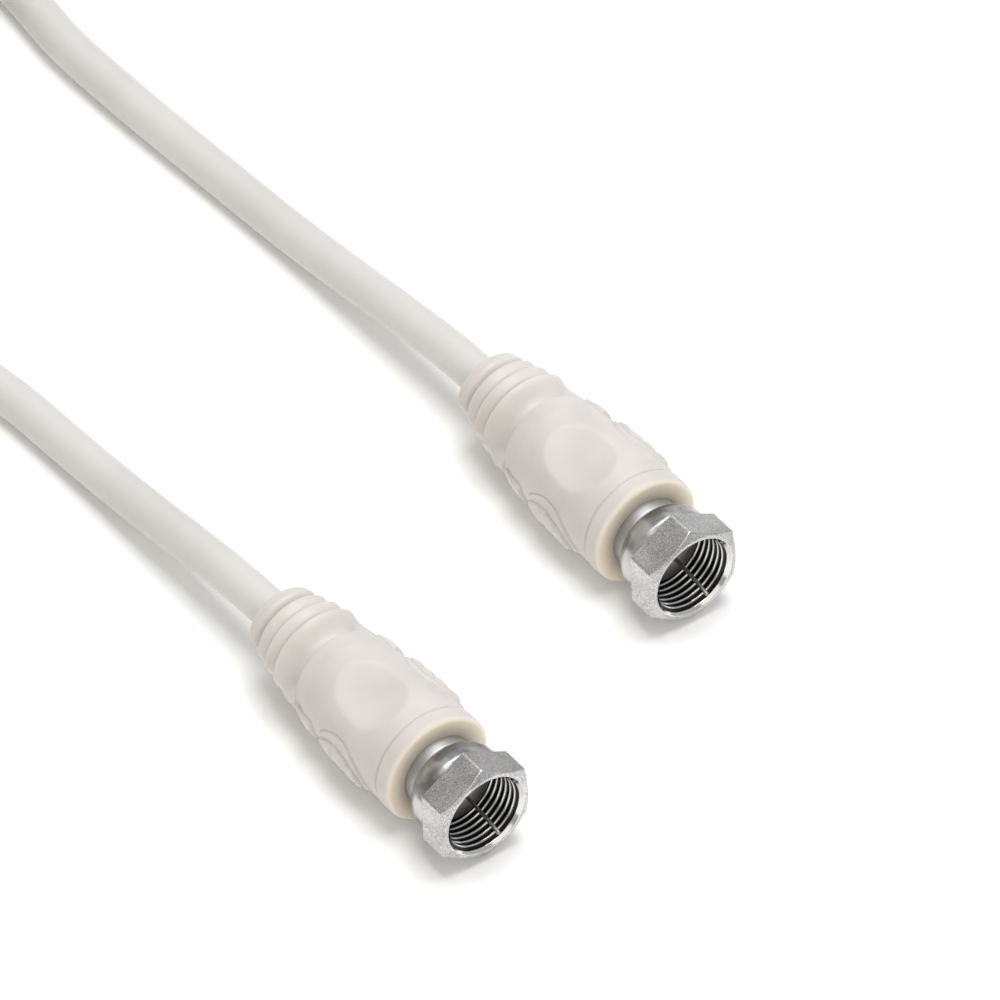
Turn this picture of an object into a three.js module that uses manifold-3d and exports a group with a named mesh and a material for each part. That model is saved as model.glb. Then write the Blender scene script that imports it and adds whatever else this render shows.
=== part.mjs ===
// A coaxial lead with a moulded F plug on each end, in millimetres, with +Z up.
// Each plug lies along +X with its mouth forward. The origin is on the surface that the lead
// lies on, under the middle of the two plugs' common box.
import * as THREE from "three";
import { mergeVertices } from "three/addons/utils/BufferGeometryUtils.js";
import Module from "manifold-3d";

const wasm = await Module();
wasm.setup();

// Running and seating clearances
const SEAT_GAP = 0.3;
const PRESS_GAP = 0.1;
const RUNNING_GAP = 0.15;

// Hex coupling nut, made for a 3/8 inch thread
const NUT_ACROSS_FLATS = 11;
const NUT_HEX_LENGTH = 3.9;
const NUT_CHAMFER_LENGTH = 0.6;
const NUT_RIM_RADIUS = 5.3;
const NUT_NECK_RADIUS = 5.4;
const NUT_NECK_LENGTH = 3.1;
const NUT_NECK_TAPER_LENGTH = 1.3;
const NUT_NECK_END_RADIUS = 4.7;
const NUT_BACK_WALL = 1;
const THREAD_MINOR_RADIUS = 4.33;
const COUNTERSINK_RADIUS = 4.95;
const NUT_TURN_DEG = 9.6;

// Ferrule, the metal barrel that the nut turns on
const BARREL_RADIUS = 4.25;
const BARREL_SHOWN = 1.7;
const BARREL_IN_BOOT = 4;
const SHANK_RADIUS = 3.4;
const FLANGE_RADIUS = 4.05;
const FLANGE_THICKNESS = 0.8;

// Cable: jacket, foam dielectric and centre conductor
const CABLE_DIAMETER = 4.5;
const DIELECTRIC_RADIUS = 1.45;
const PIN_RADIUS = 0.25;
const PIN_BEYOND_MOUTH = 2.8;
const PIN_IN_DIELECTRIC = 3;

// Boot: front collar, body with thumb pads and side grips, and ribbed strain relief
const COLLAR_RADIUS = 6.6;
const COLLAR_LENGTH = 2.1;
const COLLAR_EDGE_ROUND = 0.55;
const COLLAR_GROOVE_DEPTH = 0.35;
const COLLAR_GROOVE_HALF_WIDTH = 0.4;
const BODY_LENGTH = 16.2;
const BODY_FRONT_RADIUS = 6.5;
const BODY_MIDDLE_RADIUS = 6.3;
const BODY_SHOULDER_RADIUS = 6.05;
const BODY_BACK_RADIUS = 5.45;
const RELIEF_LENGTH = 10.1;
const RELIEF_FRONT_RADIUS = 5.8;
const RELIEF_BACK_RADIUS = 3.8;
const RELIEF_BULGE = 1.3;
const RELIEF_END_ROUND = 0.9;
const RIB_COUNT = 3;
const RIB_PITCH = 2;
const RIB_START = 3.2;
const RIB_RISE = 0.45;
const BACK_VALLEY_DEPTH = 0.8;
const SHOULDER_STEP = 0.15;
const STEP_SHARE = 0.8;
const RIB_FADE_FROM = 0.18;
const RIB_FADE_TO = 0.6;
const PAD_CENTRE = 9.2;
const PAD_HALF_LENGTH = 4.6;
const PAD_HEIGHT = 5.35;
const GRIP_FRONT = 14.6;
const GRIP_LENGTH = 8.7;
const GRIP_HALF_WIDTH = 3.6;
const GRIP_WIDEST = 0.6;
const GRIP_RISE = 0.3;
const GRIP_EDGE = 0.35;

// How the two plugs lie
const PLUG_ROLL_DEG = 22.5;
const PLUG_STEP_X = 16.4;
const PLUG_STEP_Y = 39.2;

// The coiled length: two layers, wound inwards below and outwards above
const COIL_CENTRE_X = -142;
const COIL_CENTRE_Y = -37;
const COIL_MEAN_RADIUS = 26.8;
const COIL_TURNS = 7.5;
const COIL_PITCH = 4.6;
const COIL_LAYERS = 2;
const CABLE_LIFT = 0.05;
const TIE_THICKNESS = 0.5;
const TIE_WIDTH = 3;

const TURN_STEPS = 48;
const COIL_STEPS = 48;
const TUBE_SIDES = 10;

// Stations along a plug's axis, measured from the nut's mouth
const nutBack = -(NUT_HEX_LENGTH + NUT_NECK_LENGTH);
const barrelFront = nutBack - SEAT_GAP;
const bootFront = nutBack - BARREL_SHOWN;
const barrelBack = bootFront - BARREL_IN_BOOT;
const flangeBack = nutBack + NUT_BACK_WALL + SEAT_GAP;
const flangeFront = flangeBack + FLANGE_THICKNESS;
const collarBack = bootFront - COLLAR_LENGTH;
const bodyBack = collarBack - BODY_LENGTH;
const bootBack = bodyBack - RELIEF_LENGTH;
const axisHeight = COLLAR_RADIUS;
const cableRadius = CABLE_DIAMETER / 2;
const cableRest = cableRadius + CABLE_LIFT;

// A closed geometry with shared vertices merged and no normals or texture coordinates
function welded(geometry) {
  const bare = geometry.clone();
  bare.deleteAttribute("normal");
  bare.deleteAttribute("uv");
  return mergeVertices(bare, 1e-5);
}

function toSolid(geometry) {
  const merged = welded(geometry);
  const vertProperties = new Float32Array(merged.attributes.position.array);
  const triVerts = new Uint32Array(merged.index.array);
  return new wasm.Manifold(new wasm.Mesh({ numProp: 3, vertProperties, triVerts }));
}

function toGeometry(solid) {
  const mesh = solid.getMesh();
  const geometry = new THREE.BufferGeometry();
  geometry.setAttribute("position", new THREE.BufferAttribute(mesh.vertProperties, 3));
  geometry.setIndex(new THREE.BufferAttribute(mesh.triVerts, 1));
  return geometry;
}

// Turns an outline of [radius, station] pairs, listed from front to back, about the X axis
function turned(outline, steps = TURN_STEPS) {
  const points = outline.map(([radius, station]) => new THREE.Vector2(radius, station)).reverse();
  return new THREE.LatheGeometry(points, steps).rotateZ(-Math.PI / 2);
}

// A quarter round of radius size from the front face to the side, seen in the outline
function edgeRound(radius, front, size, count = 3) {
  const points = [];
  for (let i = 0; i <= count; i++) {
    const angle = (i / count) * (Math.PI / 2);
    points.push([radius - size + size * Math.sin(angle), front - size + size * Math.cos(angle)]);
  }
  return points;
}

function smooth(low, high, value) {
  return THREE.MathUtils.smoothstep(value, low, high);
}

function material(color, roughness, metalness) {
  return new THREE.MeshStandardMaterial({ color, roughness, metalness });
}

const bootVinyl = () => material(0xe3ddd7, 0.5, 0);
const jacketVinyl = () => material(0xdedbd6, 0.45, 0);
const nickelPlate = () => material(0xc4c4c2, 0.35, 1);
const foamWhite = () => material(0xefeeea, 0.7, 0);
const tinnedWire = () => material(0xb9aa98, 0.35, 1);
const tieWhite = () => material(0xf0efec, 0.5, 0);

// The nut: a hexagon with turned chamfers, a round neck behind it, and the threaded bore
function nutGeometry() {
  const cornerRadius = NUT_ACROSS_FLATS / Math.sqrt(3);
  const hexagon = new THREE.Shape();
  for (let i = 0; i < 6; i++) {
    const angle = THREE.MathUtils.degToRad(NUT_TURN_DEG + 60 * i);
    const corner = [cornerRadius * Math.cos(angle), cornerRadius * Math.sin(angle)];
    if (i === 0) hexagon.moveTo(...corner);
    else hexagon.lineTo(...corner);
  }
  hexagon.closePath();
  const length = -nutBack;
  const prism = new THREE.ExtrudeGeometry(hexagon, { depth: length, bevelEnabled: false, steps: 1 });
  prism.rotateX(Math.PI / 2).rotateZ(Math.PI / 2).translate(nutBack, 0, 0);
  const hexBack = -NUT_HEX_LENGTH;
  const envelope = turned([
    [0, 0],
    [NUT_RIM_RADIUS, 0],
    [cornerRadius, -NUT_CHAMFER_LENGTH],
    [cornerRadius, hexBack],
    [NUT_NECK_RADIUS, hexBack],
    [NUT_NECK_RADIUS, nutBack + NUT_NECK_TAPER_LENGTH],
    [NUT_NECK_END_RADIUS, nutBack],
    [0, nutBack],
  ]);
  const boreBottom = nutBack + NUT_BACK_WALL;
  const countersink = COUNTERSINK_RADIUS - THREAD_MINOR_RADIUS;
  const holeRadius = SHANK_RADIUS + RUNNING_GAP;
  const bore = turned([
    [0, 1],
    [COUNTERSINK_RADIUS, 1],
    [COUNTERSINK_RADIUS, 0],
    [THREAD_MINOR_RADIUS, -countersink],
    [THREAD_MINOR_RADIUS, boreBottom],
    [holeRadius, boreBottom],
    [holeRadius, nutBack - 1],
    [0, nutBack - 1],
  ]);
  return toGeometry(toSolid(prism).intersect(toSolid(envelope)).subtract(toSolid(bore)));
}

// The ferrule: a barrel held in the boot, a shank through the nut, and the flange that keeps it
function ferruleGeometry() {
  const boreRadius = DIELECTRIC_RADIUS + PRESS_GAP;
  return turned([
    [boreRadius, flangeFront],
    [FLANGE_RADIUS, flangeFront],
    [FLANGE_RADIUS, flangeBack],
    [SHANK_RADIUS, flangeBack],
    [SHANK_RADIUS, barrelFront],
    [BARREL_RADIUS, barrelFront],
    [BARREL_RADIUS, barrelBack],
    [boreRadius, barrelBack],
    [boreRadius, flangeFront],
  ]);
}

function dielectricGeometry() {
  const pinBore = PIN_RADIUS + PRESS_GAP;
  const pinBoreBottom = flangeFront - PIN_IN_DIELECTRIC - SEAT_GAP;
  return turned([
    [0, pinBoreBottom],
    [pinBore, pinBoreBottom],
    [pinBore, flangeFront],
    [DIELECTRIC_RADIUS, flangeFront],
    [DIELECTRIC_RADIUS, barrelBack],
    [0, barrelBack],
  ], TURN_STEPS / 2);
}

function pinGeometry() {
  const back = flangeFront - PIN_IN_DIELECTRIC;
  return turned([
    [0, PIN_BEYOND_MOUTH],
    [PIN_RADIUS, PIN_BEYOND_MOUTH - PIN_RADIUS / 2],
    [PIN_RADIUS, back],
    [0, back],
  ], TURN_STEPS / 4);
}

// How far the ribbed top of the strain relief stands above its plain cone at a station.
// Each rib falls gently towards the plug and then steps up sharply to the next one
function ribRise(station) {
  const steps = [bodyBack];
  for (let i = 0; i < RIB_COUNT; i++) steps.push(bodyBack - RIB_START - i * RIB_PITCH);
  steps.push(bootBack);
  for (let i = 0; i + 1 < steps.length; i++) {
    if (station < steps[i + 1]) continue;
    const share = (station - steps[i + 1]) / (steps[i] - steps[i + 1]);
    const floor = i === 0 ? -BACK_VALLEY_DEPTH : 0;
    const fall = smooth(i === RIB_COUNT ? 0.5 : 0, STEP_SHARE, share);
    const climb = i === 0 ? 0 : smooth(STEP_SHARE, 1, share);
    return THREE.MathUtils.lerp(RIB_RISE, floor, fall * (1 - climb));
  }
  return 0;
}

// Half the width of a side grip's leaf shape at a station, or less than nothing outside it
function gripHalfWidth(station) {
  const share = (bodyBack + GRIP_FRONT - station) / GRIP_LENGTH;
  if (share < 0 || share > 1) return -1;
  if (share < GRIP_WIDEST) return GRIP_HALF_WIDTH * Math.sin((Math.PI / 2) * (share / GRIP_WIDEST));
  return GRIP_HALF_WIDTH * (1 - 0.45 * ((share - GRIP_WIDEST) / (1 - GRIP_WIDEST)) ** 2);
}

// How far a boot's surface stands from the axis at a station and an angle from its thumb pad,
// where the plain turned outline has the given radius
function bootHeight(station, radius, angle) {
  const overTop = Math.abs(Math.cos(angle));
  let height = radius;
  if (station <= bodyBack) height += smooth(RIB_FADE_FROM, RIB_FADE_TO, overTop) * ribRise(station);
  const fromPad = (station - (bodyBack + PAD_CENTRE)) / PAD_HALF_LENGTH;
  const padHeight = THREE.MathUtils.lerp(PAD_HEIGHT, BODY_MIDDLE_RADIUS, fromPad ** 2);
  if (Math.abs(fromPad) < 1.2) height = Math.min(height, padHeight / Math.max(overTop, 0.1));
  const acrossGrip = radius * Math.asin(overTop);
  const inGrip = gripHalfWidth(station) - acrossGrip;
  height += GRIP_RISE * smooth(-GRIP_EDGE, GRIP_EDGE, inGrip);
  return height;
}

// Distances behind the body at which the strain relief's outline has a point: on each step
// up, at its foot and over the slope between them
function reliefRows() {
  const rows = [SHOULDER_STEP];
  const lengths = [RIB_START, ...Array(RIB_COUNT - 1).fill(RIB_PITCH)];
  let start = 0;
  for (const length of lengths) {
    const foot = start === 0 ? [] : [start + (1 - STEP_SHARE) * length];
    rows.push(...foot, start + 0.45 * length, start + 0.7 * length, start + length);
    start += length;
  }
  const last = RELIEF_LENGTH - start;
  rows.push(start + (1 - STEP_SHARE) * last, start + 0.35 * last, start + 0.5 * last);
  return rows;
}

// The boot's turned outline, from the bottom of its socket round to its back end
function bootOutline() {
  const socketRadius = BARREL_RADIUS + PRESS_GAP;
  const socketBottom = barrelBack - SEAT_GAP;
  const outline = [
    [0, socketBottom],
    [socketRadius, socketBottom],
    [socketRadius, bootFront],
    ...edgeRound(COLLAR_RADIUS, bootFront, COLLAR_EDGE_ROUND),
    [COLLAR_RADIUS, collarBack + COLLAR_GROOVE_HALF_WIDTH],
    [COLLAR_RADIUS - COLLAR_GROOVE_DEPTH, collarBack],
  ];
  const bodyCurve = new THREE.CatmullRomCurve3([
    new THREE.Vector3(BODY_FRONT_RADIUS, collarBack - COLLAR_GROOVE_HALF_WIDTH, 0),
    new THREE.Vector3(BODY_FRONT_RADIUS, collarBack - 0.25 * BODY_LENGTH, 0),
    new THREE.Vector3(BODY_MIDDLE_RADIUS, collarBack - 0.55 * BODY_LENGTH, 0),
    new THREE.Vector3(BODY_SHOULDER_RADIUS, collarBack - 0.83 * BODY_LENGTH, 0),
    new THREE.Vector3(BODY_BACK_RADIUS, bodyBack, 0),
  ]);
  for (const point of bodyCurve.getPoints(12)) outline.push([point.x, point.y]);
  const straight = RELIEF_LENGTH - RELIEF_END_ROUND;
  for (const back of reliefRows()) {
    const share = (back / straight) ** RELIEF_BULGE;
    const radius = THREE.MathUtils.lerp(RELIEF_FRONT_RADIUS, RELIEF_BACK_RADIUS, share);
    outline.push([radius, bodyBack - back]);
  }
  for (let i = 0; i <= 3; i++) {
    const angle = (i / 3) * (Math.PI / 2);
    const inward = RELIEF_END_ROUND * (1 - Math.cos(angle));
    outline.push([RELIEF_BACK_RADIUS - inward, bodyBack - straight - RELIEF_END_ROUND * Math.sin(angle)]);
  }
  outline.push([0, bootBack]);
  return outline;
}

function bootGeometry() {
  const boot = turned(bootOutline());
  const position = boot.attributes.position;
  for (let i = 0; i < position.count; i++) {
    const station = position.getX(i);
    const radius = Math.hypot(position.getY(i), position.getZ(i));
    if (station > collarBack - COLLAR_GROOVE_HALF_WIDTH || radius < RELIEF_BACK_RADIUS - 1e-4) continue;
    const angle = Math.atan2(position.getY(i), position.getZ(i));
    const scale = bootHeight(station, radius, angle) / radius;
    position.setY(i, position.getY(i) * scale);
    position.setZ(i, position.getZ(i) * scale);
  }
  return boot;
}

// A named mesh for one physical piece
function piece(name, geometry, finish) {
  const mesh = new THREE.Mesh(geometry, finish);
  mesh.name = name;
  return mesh;
}

// One plug, named for the end of the lead that it is on, with its mouth at the given place
function makePlug(end, mouthX, mouthY) {
  const plug = new THREE.Group();
  plug.add(piece(`boot_${end}`, bootGeometry(), bootVinyl()));
  plug.add(piece(`ferrule_${end}`, ferruleGeometry(), nickelPlate()));
  plug.add(piece(`nut_${end}`, nutGeometry(), nickelPlate()));
  plug.add(piece(`dielectric_${end}`, dielectricGeometry(), foamWhite()));
  plug.add(piece(`pin_${end}`, pinGeometry(), tinnedWire()));
  plug.rotation.x = THREE.MathUtils.degToRad(PLUG_ROLL_DEG);
  plug.position.set(mouthX, mouthY, axisHeight);
  return plug;
}

// The plugs' common box runs from the back of plug A's boot to the tip of plug B's pin
const mouthAX = -(bootBack + PLUG_STEP_X + PIN_BEYOND_MOUTH) / 2;
const mouthAY = PLUG_STEP_Y / 2;
const mouthBX = mouthAX + PLUG_STEP_X;
const mouthBY = mouthAY - PLUG_STEP_Y;
const coilX = mouthAX + COIL_CENTRE_X;
const coilY = mouthAY + COIL_CENTRE_Y;

const layerTurns = COIL_TURNS / COIL_LAYERS;
const coilOuterTurn = COIL_MEAN_RADIUS + (layerTurns * COIL_PITCH) / 2;
const coilInnerTurn = COIL_MEAN_RADIUS - (layerTurns * COIL_PITCH) / 2;
const coilOuter = coilOuterTurn + cableRadius;
const coilInner = coilInnerTurn - cableRadius;
const coilHeight = COIL_LAYERS * CABLE_DIAMETER + CABLE_LIFT;

// A tube of the cable's diameter through chosen points
function cableTube(points, steps) {
  const section = new THREE.Shape();
  for (let i = 0; i < TUBE_SIDES; i++) {
    const angle = (2 * Math.PI * i) / TUBE_SIDES;
    const corner = [cableRadius * Math.cos(angle), cableRadius * Math.sin(angle)];
    if (i === 0) section.moveTo(...corner);
    else section.lineTo(...corner);
  }
  section.closePath();
  const path = new THREE.CatmullRomCurve3(points.map((point) => new THREE.Vector3(...point)));
  return new THREE.ExtrudeGeometry(section, { steps, extrudePath: path, bevelEnabled: false });
}

// Points from the back of plug A's boot, down to the surface and on to the coil's far side
function routeA() {
  const backX = mouthAX + bootBack;
  const y = mouthAY;
  return [
    [backX - SEAT_GAP, y, axisHeight],
    [backX - 7, y, axisHeight - 0.3],
    [backX - 15, y - 0.1, 5.3],
    [backX - 23, y - 0.2, 4.1],
    [backX - 31, y - 0.4, 3.1],
    [backX - 39, y - 0.7, 2.5],
    [backX - 47, y - 1.1, cableRest],
    [backX - 56, y - 1.7, cableRest],
    [backX - 65, y - 2.2, cableRest],
    [backX - 75, y - 2.4, cableRest],
    [coilX + entryReach(), coilY + coilOuterTurn + 0.1, cableRest],
  ];
}

// How far before its tangent point a straight cable comes clear of the coil's outer side
function entryReach() {
  const innerSide = coilOuterTurn - cableRadius;
  return Math.sqrt((coilOuter + SEAT_GAP) ** 2 - innerSide ** 2);
}

// Points from the back of plug B's boot, along the surface and up to the coil's upper layer
function routeB() {
  const backX = mouthBX + bootBack;
  const y = mouthBY;
  return [
    [backX - SEAT_GAP, y, axisHeight],
    [backX - 7, y, axisHeight - 0.3],
    [backX - 15, y, 5.3],
    [backX - 23, y, 4.1],
    [backX - 31, y, 3.1],
    [backX - 39, y - 0.1, 2.5],
    [backX - 48, y - 0.5, cableRest],
    [backX - 57, y - 2.2, cableRest],
    [backX - 66, y - 6.6, cableRest],
    [backX - 75, y - 13.3, cableRest],
    [backX - 84, y - 21.4, 2.6],
    [backX - 93, y - 28.6, 3.8],
    [coilX + entryReach(), coilY - coilOuterTurn - 0.6, 5],
  ];
}

// The coil's outer shape, with a shallow cut under it where the tie passes
function coilGeometry() {
  const corner = cableRadius * 0.6;
  const outline = [];
  const corners = [
    [coilInner, 0, Math.PI],
    [coilOuter, 0, 1.5 * Math.PI],
    [coilOuter, coilHeight, 0],
    [coilInner, coilHeight, 0.5 * Math.PI],
  ];
  for (const [radius, height, start] of corners) {
    const centreRadius = radius === coilInner ? coilInner + corner : coilOuter - corner;
    const centreHeight = height === 0 ? corner : coilHeight - corner;
    for (let i = 0; i <= 2; i++) {
      const angle = start + (i / 2) * (Math.PI / 2);
      const away = [corner * Math.cos(angle), corner * Math.sin(angle)];
      outline.push(new THREE.Vector2(centreRadius + away[0], centreHeight + away[1]));
    }
  }
  outline.push(outline[0].clone());
  const ring = new THREE.LatheGeometry(outline, COIL_STEPS).rotateX(Math.PI / 2);
  const cutHeight = TIE_THICKNESS + SEAT_GAP;
  const cut = new THREE.BoxGeometry(
    coilOuter - coilInner + 4,
    TIE_WIDTH + 2 * SEAT_GAP,
    2 * cutHeight,
  ).translate(-(coilOuter + coilInner) / 2, 0, 0);
  const solid = toSolid(ring).subtract(toSolid(cut));
  return toGeometry(solid).translate(coilX, coilY, 0);
}

// The tie: a flat band round the bundle on the side away from the plugs
function tieGeometry() {
  const inner = [-(coilOuter + SEAT_GAP), -(coilInner - SEAT_GAP)];
  const bottom = TIE_THICKNESS;
  const top = coilHeight + SEAT_GAP;
  const band = roundedRectangle(
    inner[0] - TIE_THICKNESS, inner[1] + TIE_THICKNESS, 0, top + TIE_THICKNESS, 1.5, new THREE.Shape());
  band.holes.push(roundedRectangle(inner[0], inner[1], bottom, top, 1, new THREE.Path()));
  const loop = new THREE.ExtrudeGeometry(band, { depth: TIE_WIDTH, bevelEnabled: false, curveSegments: 4 });
  return loop.rotateX(Math.PI / 2).translate(coilX, coilY + TIE_WIDTH / 2, 0);
}

function roundedRectangle(left, right, bottom, top, round, path) {
  path.moveTo(left + round, bottom);
  path.lineTo(right - round, bottom);
  path.absarc(right - round, bottom + round, round, -Math.PI / 2, 0);
  path.lineTo(right, top - round);
  path.absarc(right - round, top - round, round, 0, Math.PI / 2);
  path.lineTo(left + round, top);
  path.absarc(left + round, top - round, round, Math.PI / 2, Math.PI);
  path.lineTo(left, bottom + round);
  path.absarc(left + round, bottom + round, round, Math.PI, 1.5 * Math.PI);
  return path;
}

const lead = new THREE.Group();
lead.add(makePlug("a", mouthAX, mouthAY));
lead.add(makePlug("b", mouthBX, mouthBY));
lead.add(piece("cable_a", cableTube(routeA(), 12), jacketVinyl()));
lead.add(piece("cable_b", cableTube(routeB(), 14), jacketVinyl()));
lead.add(piece("cable_coil", coilGeometry(), jacketVinyl()));
lead.add(piece("coil_tie", tieGeometry(), tieWhite()));

export default lead;
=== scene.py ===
import math

import bmesh
import bpy
from mathutils import Matrix, Vector


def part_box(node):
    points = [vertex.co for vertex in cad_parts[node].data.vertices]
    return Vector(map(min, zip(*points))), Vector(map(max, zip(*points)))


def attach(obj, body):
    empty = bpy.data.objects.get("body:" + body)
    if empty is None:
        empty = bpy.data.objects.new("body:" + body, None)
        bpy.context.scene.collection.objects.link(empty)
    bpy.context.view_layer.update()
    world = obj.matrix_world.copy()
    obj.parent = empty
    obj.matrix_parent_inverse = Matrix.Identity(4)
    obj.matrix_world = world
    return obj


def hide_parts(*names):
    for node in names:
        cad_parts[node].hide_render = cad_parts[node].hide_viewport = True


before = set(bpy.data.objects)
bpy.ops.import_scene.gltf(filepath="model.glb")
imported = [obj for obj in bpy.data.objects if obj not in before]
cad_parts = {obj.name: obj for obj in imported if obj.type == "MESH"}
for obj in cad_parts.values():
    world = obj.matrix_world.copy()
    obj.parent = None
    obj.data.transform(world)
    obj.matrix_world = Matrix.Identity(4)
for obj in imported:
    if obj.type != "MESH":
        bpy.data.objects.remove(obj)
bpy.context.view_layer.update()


# Camera
# The view looks down on the lead from in front of the plugs and to one side, through a lens
# so long that both ends are drawn at one scale.
def middle_of(node):
    low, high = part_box(node)
    return [(a + b) / 2 for a, b in zip(low, high)]


def mouth_of(end):
    low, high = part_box(f"nut_{end}")
    middle = middle_of(f"nut_{end}")
    return Vector((high[0], middle[1], middle[2]))


view_azimuth = math.radians(53.9)
view_elevation = math.radians(43.2)
view_right = Vector((math.cos(view_azimuth), math.sin(view_azimuth), 0))
view_back = Vector((
    math.sin(view_azimuth) * math.cos(view_elevation),
    -math.cos(view_azimuth) * math.cos(view_elevation),
    math.sin(view_elevation),
))
view_up = view_back.cross(view_right)
picture_pixels = 1000
pixels_per_metre = 9450
mouth_a_pixel = (694.8, 577.3)
camera_distance = 2.4
sensor_width = 36
from_middle = [(pixel - picture_pixels / 2) / pixels_per_metre for pixel in mouth_a_pixel]
target = mouth_of("a") - view_right * from_middle[0] + view_up * from_middle[1]
picture_width = picture_pixels / pixels_per_metre
camera_data = bpy.data.cameras.new("camera")
camera_data.sensor_width = sensor_width
camera_data.lens = sensor_width * camera_distance / picture_width
camera_data.clip_start = 0.1
camera_data.clip_end = 50
camera = bpy.data.objects.new("camera", camera_data)
camera.location = target + view_back * camera_distance
camera.rotation_euler = Matrix((view_right, view_up, view_back)).transposed().to_euler()
bpy.context.scene.collection.objects.link(camera)
bpy.context.scene.camera = camera


# Cable
# One length of slim satellite coax: a foam and foil core in an extruded off-white PVC jacket,
# 4.5 mm across. It leaves each boot level, droops to the surface and runs back to the coil.
def linear(hex_colour):
    values = [int(hex_colour[i:i + 2], 16) / 255 for i in (0, 2, 4)]
    return [v / 12.92 if v <= 0.04045 else ((v + 0.055) / 1.055) ** 2.4 for v in values] + [1]


def add_node(tree, kind, settings=None, links=None):
    node = tree.nodes.new(kind)
    for name, value in (settings or {}).items():
        if isinstance(name, str) and hasattr(node, name):
            setattr(node, name, value)
        else:
            node.inputs[name].default_value = value
    for name, source in (links or {}).items():
        tree.links.new(source, node.inputs[name])
    return node


def new_material(name):
    material = bpy.data.materials.new(name)
    material.use_nodes = True
    material.node_tree.nodes.clear()
    return material, material.node_tree


# The jacket is extruded through a die, so its skin is smooth and satin with a barely uneven
# tone. Its own grain is too fine to see, so it is drawn coarser here, 0.25 mm across.
def extruded_pvc_jacket():
    material, tree = new_material("extruded_pvc_jacket")
    place = add_node(tree, "ShaderNodeTexCoord").outputs["Object"]
    cloud = add_node(tree, "ShaderNodeTexNoise", {"Scale": 1 / 0.012, "Detail": 2}, {"Vector": place})
    grain = add_node(tree, "ShaderNodeTexNoise", {"Scale": 1 / 0.00025, "Detail": 2}, {"Vector": place})
    shade = add_node(tree, "ShaderNodeValToRGB", {}, {"Fac": cloud.outputs["Fac"]})
    shade.color_ramp.elements[0].position = 0.35
    shade.color_ramp.elements[0].color = linear("D0CECA")
    shade.color_ramp.elements[1].position = 0.65
    shade.color_ramp.elements[1].color = linear("D6D4D0")
    bump = add_node(
        tree, "ShaderNodeBump", {"Strength": 0.12, "Distance": 0.00003}, {"Height": grain.outputs["Fac"]})
    surface = add_node(
        tree, "ShaderNodeBsdfPrincipled",
        {"Roughness": 0.42, "IOR": 1.53, "Subsurface Weight": 0.12, "Subsurface Scale": 0.0008,
         "Subsurface Radius": (1, 0.85, 0.7)},
        {"Base Color": shade.outputs["Color"], "Normal": bump.outputs["Normal"]})
    add_node(tree, "ShaderNodeOutputMaterial", {}, {"Surface": surface.outputs["BSDF"]})
    return material


mm = 0.001
cable_diameter = 4.5 * mm
cable_radius = cable_diameter / 2
cable_lift = 0.05 * mm
cable_rest = cable_radius + cable_lift
cable_in_boot = 1 * mm
cable_straight = 2 * mm
cable_sag = 0.02 * mm
boot_back_a = Vector((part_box("boot_a")[0][0], mouth_of("a").y, mouth_of("a").z))
boot_back_b = Vector((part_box("boot_b")[0][0], mouth_of("b").y, mouth_of("b").z))
coil_centre = middle_of("cable_coil")
coil_outer_turn = (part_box("cable_coil")[1][1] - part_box("cable_coil")[0][1]) / 2 - cable_radius
coil_turns = 7.5
coil_pitch = 4.6 * mm
layer_change = 0.2
steps_per_turn = 60
steps_between_places = 6
first_turn_gap = 0.1 * mm
last_turn_gap = 0.6 * mm
last_turn_height = 5 * mm
beside_turn_gap = 0.3 * mm
tie_angle = math.pi
tie_lift = 0.55 * mm
tie_lift_spread = math.radians(28)

# Places along each uncoiled stretch, in mm: how far behind the boot, how far to the side, and
# how high. They are the same as in the part's own route.
uncoiled_a = [
    (7, 0, 6.3), (15, -0.1, 5.3), (23, -0.2, 4.1), (31, -0.4, 3.1), (39, -0.7, 2.5),
    (47, -1.1, 2.3), (56, -1.7, 2.3), (65, -2.2, 2.3), (75, -2.4, 2.3),
]
uncoiled_b = [
    (7, 0, 6.3), (15, 0, 5.3), (23, 0, 4.1), (31, 0, 3.1), (39, -0.1, 2.5),
    (48, -0.5, 2.3), (57, -2.2, 2.3), (66, -6.6, 2.3), (75, -13.3, 2.3),
    (84, -21.4, 2.6), (93, -28.6, 3.8),
]


def uncoiled_stretch(boot_back, places, coil_end):
    points = [
        boot_back + Vector((cable_in_boot, 0, 0)),
        boot_back - Vector((cable_straight, 0, cable_sag)),
    ]
    for back, aside, height in places:
        points.append(Vector((boot_back.x - back * mm, boot_back.y + aside * mm, height * mm)))
    return points + [coil_end]


def smooth_step(low, high, value):
    share = min(max((value - low) / (high - low), 0), 1)
    return share * share * (3 - 2 * share)


# The coil is wound inwards on the surface and back outwards on top of itself, each turn a
# little over a diameter from the last, and it rides up a little over the tie.
def coil_point(turn):
    angle = math.pi / 2 + 2 * math.pi * turn
    radius = coil_outer_turn - coil_pitch * min(turn, coil_turns - turn)
    middle = coil_turns / 2
    height = cable_rest + cable_diameter * smooth_step(middle - layer_change, middle + layer_change, turn)
    from_tie = abs((angle - tie_angle + math.pi) % (2 * math.pi) - math.pi)
    if from_tie < tie_lift_spread:
        height += tie_lift * 0.5 * (1 + math.cos(math.pi * from_tie / tie_lift_spread))
    return Vector((
        coil_centre[0] + radius * math.cos(angle),
        coil_centre[1] + radius * math.sin(angle),
        height,
    ))


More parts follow.
